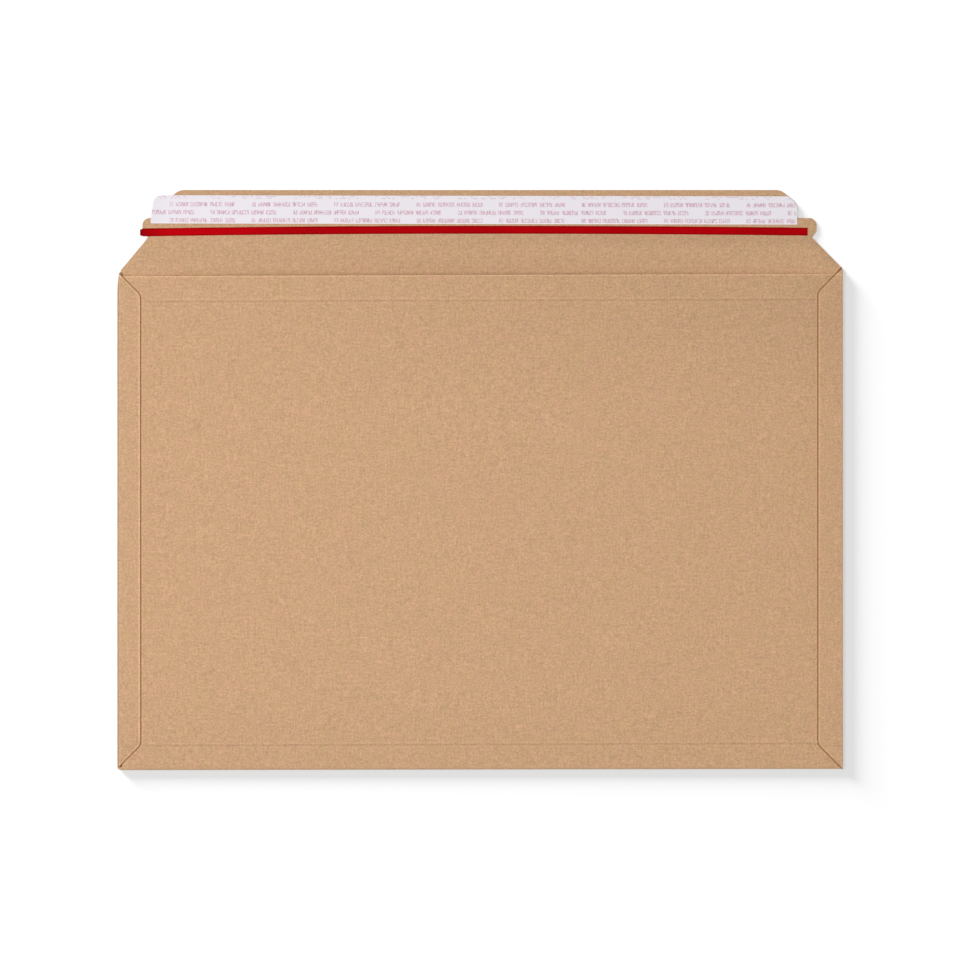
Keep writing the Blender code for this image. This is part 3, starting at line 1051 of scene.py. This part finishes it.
def crease_shade_and_highlight(shader):
    """Painted shade in each of the front panel's pressed creases, with painted highlights beside it."""
    x, y, _ = shader.axes()
    level = shader.maths("MULTIPLY_ADD", x, -SKEW, y)
    tone = 0.0
    for crease in CREASES:
        for offset, half, strength in CREASE_BANDS:
            band = shader.pulse(level, sheet_y(crease) + offset, half)
            tone = shader.maths("MULTIPLY_ADD", band, strength, tone)
    along = shader.remap(shader.maths("ABSOLUTE", x), CREASE_FULL_X, CREASE_END_X, 1.0, 0.0)
    share = shader.maths("MULTIPLY", along, shader.above(OVER_BACK))
    return shader.maths("MULTIPLY_ADD", tone, share, 1.0)


# Bands at the mouth, offset and half width, and how much lighter each is: painted light on the board
# behind the mouth, and a painted highlight on the front panel's edge
BEHIND_MOUTH = (0.2 * MM, 0.7 * MM)
BEHIND_MOUTH_LIGHT = 0.08
MOUTH_HIGHLIGHT = (-0.55 * MM, 0.6 * MM)
MOUTH_HIGHLIGHT_TONE = 0.22


def mouth_light_and_highlight(shader):
    """Painted highlight on the front panel's edge at the mouth, and painted light on the board right
    behind it.
    """
    x, y, _ = shader.axes()
    level = shader.maths("MULTIPLY_ADD", x, -SKEW, y)
    over_back = shader.above(OVER_BACK)
    on_back = shader.maths("SUBTRACT", shader.above(IN_BACK_MOUTH), over_back)
    behind = shader.pulse(level, sheet_y(MOUTH_Y) + BEHIND_MOUTH[0], BEHIND_MOUTH[1])
    rim = shader.pulse(level, sheet_y(MOUTH_Y) + MOUTH_HIGHLIGHT[0], MOUTH_HIGHLIGHT[1])
    tone = shader.maths("MULTIPLY_ADD", shader.maths("MULTIPLY", behind, on_back), BEHIND_MOUTH_LIGHT, 1.0)
    return shader.maths("MULTIPLY_ADD", shader.maths("MULTIPLY", rim, over_back), MOUTH_HIGHLIGHT_TONE, tone)


# Painted light and shade on the board, and a darker band below the tape: where each one lies, and its
# change of tone
UPPER_SHADE_Y = (180 * MM, 225 * MM)
UPPER_SHADE_TONES = (-0.012, -0.072)
UNDER_TAPE = (265.5 * MM, 6.0 * MM)
UNDER_TAPE_SPAN = (-120 * MM, 120 * MM)
UNDER_TAPE_TONES = (0.0, -0.10)
HINGE_BAND = (251.0 * MM, 4.0 * MM)
HINGE_LIGHT = 0.045
FOOT_BAND = (12.0 * MM, 40.0 * MM)
FOOT_SHADE = -0.025
LEFT_EDGE = (-WIDTH / 2, 1.3 * MM)
LEFT_EDGE_SHADE = -0.32
RIGHT_EDGE = (WIDTH / 2, 2.2 * MM)
RIGHT_EDGE_LIGHT = 0.34


def board_light_and_shade(shader):
    """Painted shade on the panel's upper part, growing to the right, and near the bottom fold; a darker
    band below the tape; painted light along the hinge score; painted shade on the left fold's edge and
    painted light on the right fold's edge.
    """
    x, y, _ = shader.axes()
    upper = shader.remap(y, *(sheet_y(height) for height in UPPER_SHADE_Y), 0.0, 1.0)
    upper = shader.maths("MULTIPLY", upper, shader.above(OVER_BACK))
    under_tape = shader.pulse(y, sheet_y(UNDER_TAPE[0]), UNDER_TAPE[1])
    parts = [
        (upper, shader.remap(x, *PANEL_SPAN, *UPPER_SHADE_TONES)),
        (under_tape, shader.remap(x, *UNDER_TAPE_SPAN, *UNDER_TAPE_TONES)),
        (shader.pulse(y, sheet_y(HINGE_BAND[0]), HINGE_BAND[1]), HINGE_LIGHT),
        (shader.remap(y, *(sheet_y(height) for height in FOOT_BAND), 1.0, 0.0), FOOT_SHADE),
        (shader.pulse(x, *LEFT_EDGE), LEFT_EDGE_SHADE),
        (shader.pulse(x, *RIGHT_EDGE), RIGHT_EDGE_LIGHT),
    ]
    tone = 1.0
    for share, change in parts:
        tone = shader.maths("MULTIPLY_ADD", share, change, tone)
    return tone


def board_face_material(name, tone, rim_tone):
    """Face of the board at a tone, with another change of tone along its crushed edges."""
    shader = Shader(name)
    colour, normal = kraft_paper(shader)
    crevice_shade, wear_and_highlight = seams(shader)
    # Along the crushed edges the outer face is lighter, partly burnished board and partly painted
    # highlight, and the inner face a little darker
    tone = shader.maths("MULTIPLY_ADD", shader.attribute("edge"), rim_tone, tone)
    # The factors add the rims' wear and painted highlight, and painted light and shade at the creases,
    # the mouth and over the board
    for factor in (wear_and_highlight, crease_shade_and_highlight(shader), mouth_light_and_highlight(shader), board_light_and_shade(shader)):
        tone = shader.maths("MULTIPLY", tone, factor)
    # The painted crevice shade is mixed over the kraft colour
    colour = shader.mix(crevice_shade, shader.tint(colour, tone), CREVICE_SHADE)
    return shader.finish(colour, 0.86, normal, 0.2)


# Flutes on the cut edges, as shares of the board's thickness: wave, medium and the two liners
FLUTE_PITCH = 1.9 * MM
FLUTE_SWING = 0.27
MEDIUM_HALF = (0.10, 0.17)
LINER_FROM = (0.30, 0.36)
# Hollows between the flutes: their tone is painted shade
HOLLOW_SHADE = 0.34
CUT_TONES = (0.98, 1.16)


def cut_edge_material(name):
    """Rim of the board: liner, waved fluting and hollows darkened with painted shade, all a little
    crushed by the cutting knife.
    """
    shader = Shader(name)
    colour, normal = kraft_paper(shader)
    across = shader.attribute("through")
    phase = shader.maths("MULTIPLY", shader.axes()[0], 2 * math.pi / FLUTE_PITCH)
    wave = shader.maths("MULTIPLY_ADD", shader.maths("SINE", phase), FLUTE_SWING, 0.5)
    from_wave = shader.maths("ABSOLUTE", shader.maths("SUBTRACT", across, wave))
    medium = shader.remap(from_wave, *MEDIUM_HALF, 1.0, 0.0)
    from_middle = shader.maths("ABSOLUTE", shader.maths("SUBTRACT", across, 0.5))
    liner = shader.remap(from_middle, *LINER_FROM, 0.0, 1.0)
    solid = shader.maths("MAXIMUM", medium, liner)
    hollow_shade = shader.tint(colour, HOLLOW_SHADE)
    lit = shader.tint(colour, shader.remap(shader.noise(2600.0, 2.0), 0.3, 0.7, *CUT_TONES))
    return shader.finish(shader.mix(solid, hollow_shade, lit), 0.92, normal, 0.2)


# Liner, ink and tape
SILICONE_PAPER = (0.803, 0.760, 0.808)
LINER_RIM = (0.2 * MM, 0.5 * MM)
LINER_RIM_TONE = 0.1
INKS = ((0.64, 0.35, 0.44), (0.72, 0.46, 0.54))
TAPE_RED = (0.375, 0.0004, 0.0025)


def liner_material():
    shader = Shader("silicone_paper")
    cloud = shader.noise(60.0, 2.0, 0.5)
    fine = shader.noise(1500.0, 2.0, 0.6)
    tone = shader.maths("MULTIPLY_ADD", cloud, 0.03, 0.985)
    tone = shader.maths("MULTIPLY", tone, shader.remap(fine, 0.3, 0.7, 0.985, 1.015))
    x, y, _ = shader.axes()
    level = shader.maths("MULTIPLY_ADD", x, -LINER_SKEW, y)
    rim = shader.pulse(level, sheet_y(LINER_Y[0]) + LINER_RIM[0], LINER_RIM[1])
    tone = shader.maths("MULTIPLY_ADD", rim, LINER_RIM_TONE, tone)
    colour = shader.tint(SILICONE_PAPER, tone)
    return shader.finish(colour, 0.5, shader.bump(fine, 0.02 * MM, 0.3), 0.3)


def print_material():
    shader = Shader("pale_red_ink")
    patchy = shader.remap(shader.noise(2400.0, 2.0, 0.6), 0.3, 0.7, 0.0, 1.0)
    return shader.finish(shader.mix(patchy, *INKS), 0.5, None, 0.3)


# Tone of the tape from its middle line out to its edges, and inwards from its left end, with a painted
# sheen near that end
TAPE_EDGE = (1.0 * MM, 1.75 * MM)
TAPE_EDGE_TONES = (1.1, 0.76)
TAPE_END_RUN = 2.0 * MM
TAPE_END_TONE = 0.62
TAPE_END_FADE = 14 * MM
TAPE_FADE_TONE = 0.68
TAPE_SHEEN = (-145 * MM, 60 * MM)
TAPE_SHEEN_TONE = 0.28


def tape_tone(shader):
    """Film darker along both edges and at its left end, and a painted sheen near that end."""
    x, y, _ = shader.axes()
    sag = [TEAR_SAG[side] / abs(end) ** 2 for side, end in zip((-1, 1), TEAR_X)]
    bend = shader.maths("MULTIPLY", shader.maths("MULTIPLY", x, x), shader.remap(x, -MM, MM, *sag))
    level = shader.maths("ADD", bend, shader.maths("SUBTRACT", y, sheet_y(TEAR_Y)))
    edge = shader.remap(shader.maths("ABSOLUTE", level), *TAPE_EDGE, *TAPE_EDGE_TONES)
    end = shader.remap(x, TEAR_X[0], TEAR_X[0] + TAPE_END_RUN, TAPE_END_TONE, 1.0)
    fade = shader.remap(x, TEAR_X[0], TEAR_X[0] + TAPE_END_FADE, TAPE_FADE_TONE, 1.0)
    end = shader.maths("MULTIPLY", end, fade)
    # Painted sheen near the tape's left end
    sheen = shader.maths("MULTIPLY_ADD", shader.pulse(x, *TAPE_SHEEN), TAPE_SHEEN_TONE, 1.0)
    return shader.maths("MULTIPLY", shader.maths("MULTIPLY", edge, end), sheen)


def tape_material():
    shader = Shader("red_film")
    streak = shader.noise(1.0, 2.0, 0.5, shader.stretch((60.0, 2200.0, 60.0)))
    cloud = shader.noise(45.0, 2.0, 0.5)
    tone = shader.remap(streak, 0.3, 0.7, 0.94, 1.06)
    tone = shader.maths("MULTIPLY", tone, shader.remap(cloud, 0.3, 0.7, 0.93, 1.07))
    colour = shader.tint(TAPE_RED, shader.maths("MULTIPLY", tone, tape_tone(shader)))
    return shader.finish(colour, 0.5, shader.bump(streak, 0.02 * MM, 0.4), 0.01)


HOT_MELT = (0.72, 0.62, 0.42)


def adhesive_material():
    shader = Shader("hot_melt")
    cloud = shader.noise(400.0, 3.0, 0.6)
    colour = shader.tint(HOT_MELT, shader.remap(cloud, 0.3, 0.7, 0.92, 1.06))
    return shader.finish(colour, 0.35, shader.bump(cloud, 0.05 * MM, 0.6), 0.5)


# Stage: a pale floor with a faint glow. From 0.5 the glow would lighten the shadow by itself.
FLOOR_GREY = (0.26, 0.26, 0.26)
FLOOR_GLOW = 0.49
FLOOR_HALF = 25.0
FLOOR_DROP = 0.02 * MM

# Lights: place, size and power. The low one stands for the photo's side light.
SOFTBOX = ((-0.75, 0.05, 2.0), 1.1, 28.6)
FLOOR_LIGHT = ((-11.07, 11.07, 3.33), 6.62, 14000.0)
WORLD_STRENGTH = 0.45
WHITE = (1.0, 1.0, 1.0, 1.0)

# Camera straight above
CAMERA_PLACE = (-0.05 * MM, 0.0, 3.2)
CAMERA_LENS = 240.0
CAMERA_SENSOR = 36.0


def floor_material():
    shader = Shader("studio_floor")
    fine = shader.noise(300.0, 2.0)
    colour = shader.tint(FLOOR_GREY, shader.remap(fine, 0.0, 1.0, 0.997, 1.003))
    shader.surface.inputs["Emission Color"].default_value = WHITE
    shader.surface.inputs["Emission Strength"].default_value = FLOOR_GLOW
    return shader.finish(colour, 0.9, None, 0.1)


def build_floor():
    sheet = bmesh.new()
    bmesh.ops.create_grid(sheet, x_segments=8, y_segments=8, size=FLOOR_HALF)
    bmesh.ops.translate(sheet, verts=sheet.verts, vec=(0.0, 0.0, -FLOOR_DROP))
    item = finish_mesh("floor", sheet)
    item.data.materials.append(floor_material())
    return item


def area_light(name, place_at, size, power):
    """Round white lamp that looks at the middle of the mailer."""
    data = bpy.data.lights.new(name, "AREA")
    data.shape = "DISK"
    data.size = size
    data.energy = power
    lamp = bpy.data.objects.new(name, data)
    bpy.context.collection.objects.link(lamp)
    lamp.location = place_at
    lamp.rotation_mode = "QUATERNION"
    lamp.rotation_quaternion = Vector(place_at).to_track_quat("Z", "Y")
    return lamp


def light_only(lamp, item):
    """Let a lamp light one piece only, though everything still casts its shadow."""
    lit = bpy.data.collections.new("lit_by_" + lamp.name)
    lit.objects.link(item)
    lamp.light_linking.receiver_collection = lit


def build_light(floor):
    """Soft light from above, and a low one that only draws the soft shadow on the floor."""
    world = bpy.data.worlds.new("studio")
    world.use_nodes = True
    background = world.node_tree.nodes["Background"]
    background.inputs["Color"].default_value = WHITE
    background.inputs["Strength"].default_value = WORLD_STRENGTH
    bpy.context.scene.world = world
    area_light("softbox", *SOFTBOX)
    light_only(area_light("floor_light", *FLOOR_LIGHT), floor)


def build_camera():
    data = bpy.data.cameras.new("camera")
    data.sensor_width = CAMERA_SENSOR
    data.lens = CAMERA_LENS
    data.clip_start = 0.1
    data.clip_end = 50.0
    camera = bpy.data.objects.new("camera", data)
    bpy.context.collection.objects.link(camera)
    camera.location = CAMERA_PLACE
    bpy.context.scene.camera = camera
    bpy.context.scene.view_settings.view_transform = "Standard"


def main():
    outer = board_face_material("kraft_outer_face", tone=1.0, rim_tone=0.14)
    inner = board_face_material("kraft_inner_face", tone=0.96, rim_tone=-0.05)
    rim = cut_edge_material("kraft_cut_edge")
    body = build_body((outer, rim))
    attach(body, "envelope")
    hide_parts("envelope_body")
    flap = build_flap((inner, rim))
    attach(flap, "closure")
    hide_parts("closure_flap")
    web = build_web(inner)
    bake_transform(web)
    tape = build_tear_strip(tape_material())
    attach(tape, "closure")
    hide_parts("tear_strip")
    liner = build_liner(liner_material())
    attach(liner, "closure")
    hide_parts("release_liner")
    ink = build_print(print_material())
    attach(ink, "closure")
    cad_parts["adhesive_strip"].material_slots[0].material = adhesive_material()
    build_light(build_floor())
    build_camera()


main()
